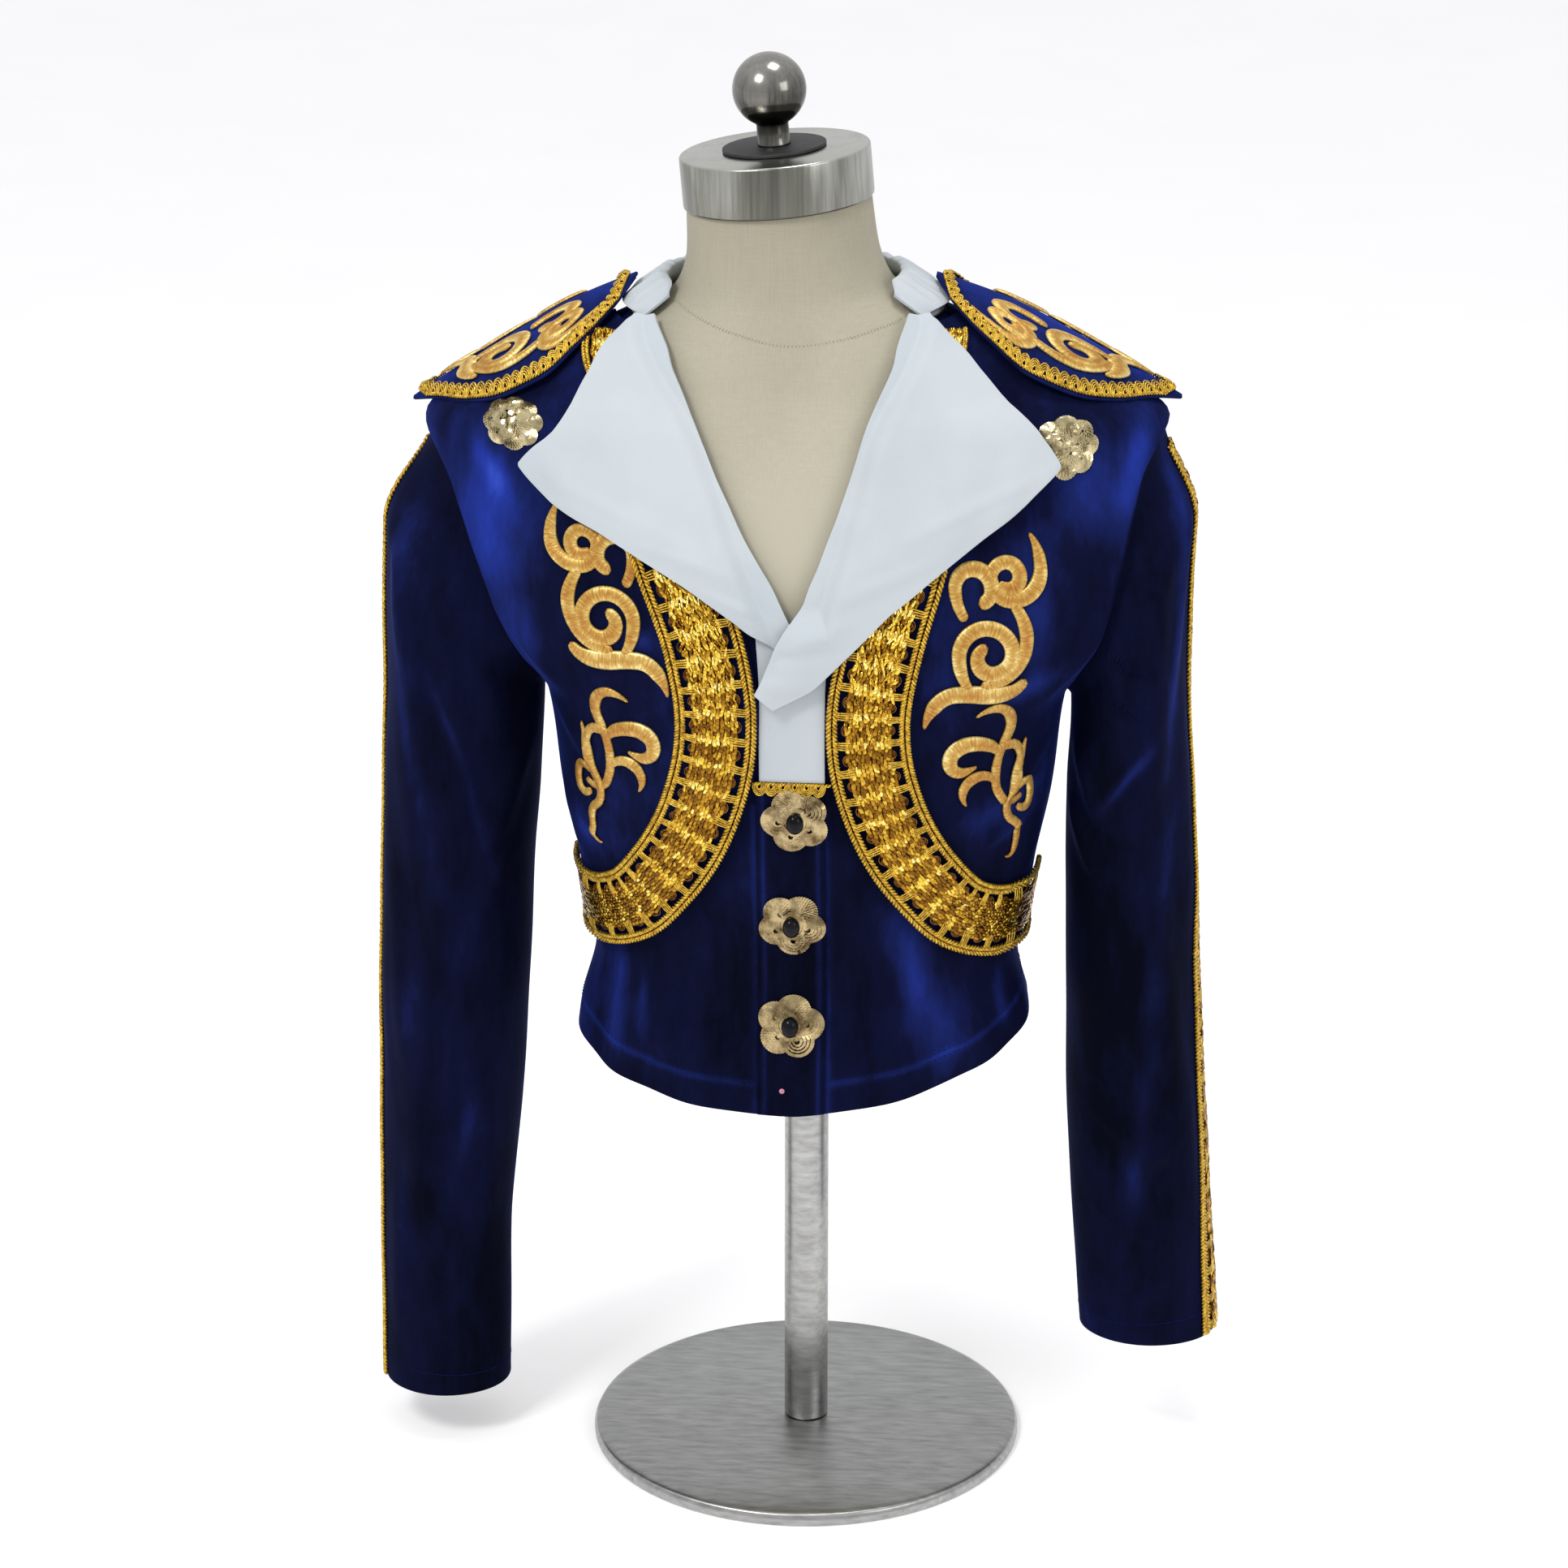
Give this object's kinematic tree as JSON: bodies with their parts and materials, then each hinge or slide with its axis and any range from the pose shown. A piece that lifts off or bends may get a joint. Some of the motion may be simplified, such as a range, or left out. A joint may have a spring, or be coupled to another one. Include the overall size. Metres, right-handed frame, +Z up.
{
  "type": "ballet tunic on a dress form",
  "caption": "Long-sleeved velvet ballet tunic with short bolero fronts, wide white lapels, gold ladder galloons, scrolls and sequin flowers, filled out on a limbless dress form on a round foot.",
  "frame": {"origin": "under the middle of the stand's round foot, on the surface it stands on", "axes": "+Z is up along the stand, -Y is the garment's front, +X is the wearer's left"},
  "size_m": [0.5452, 0.276, 0.9043],
  "materials": {
    "linen": "natural linen weave, matt",
    "steel_cap": "brushed all round",
    "black_disc": "matt black",
    "knob_steel": "polished",
    "stand_steel": "satin",
    "velvet": "midnight blue velvet with a blue sheen",
    "white_satin": "white, soft sheen",
    "gold_braid": "metallic gold braid",
    "gold_stitch": "metallic satin stitch",
    "gold_sequins": "massed antique gold sequins",
    "pale_sequins": "massed pale gold sequins",
    "black_bead": "polished black"
  },
  "bodies": {
    "root": {"form_body": "linen", "neck_cap": "steel_cap", "cap_washer": "black_disc", "knob": "knob_steel", "stand_pole": "stand_steel", "stand_foot": "stand_steel", "back": "velvet", "placket": "velvet", "front_left": "velvet", "front_right": "velvet", "sleeve_left": "velvet", "sleeve_right": "velvet", "bolero_left": "velvet", "bolero_right": "velvet", "wing_left": "velvet", "wing_right": "velvet", "collar": "white_satin", "insert": "white_satin", "lapel_left": "white_satin", "lapel_right": "white_satin", "placket_gimp": "gold_braid", "galloon_left": "gold_braid", "galloon_right": "gold_braid", "sleeve_galloon_left": "gold_braid", "sleeve_galloon_right": "gold_braid", "wing_braid_left": "gold_braid", "wing_braid_right": "gold_braid", "scroll_upper_left": "gold_stitch", "scroll_upper_right": "gold_stitch", "scroll_lower_left": "gold_stitch", "scroll_lower_right": "gold_stitch", "scroll_wing_left": "gold_stitch", "scroll_wing_right": "gold_stitch", "placket_flower_1": "gold_sequins", "placket_flower_2": "gold_sequins", "placket_flower_3": "gold_sequins", "lapel_flower_left": "pale_sequins", "lapel_flower_right": "pale_sequins", "placket_bead_1": "black_bead", "placket_bead_2": "black_bead", "placket_bead_3": "black_bead"}
  },
  "joints": []
}
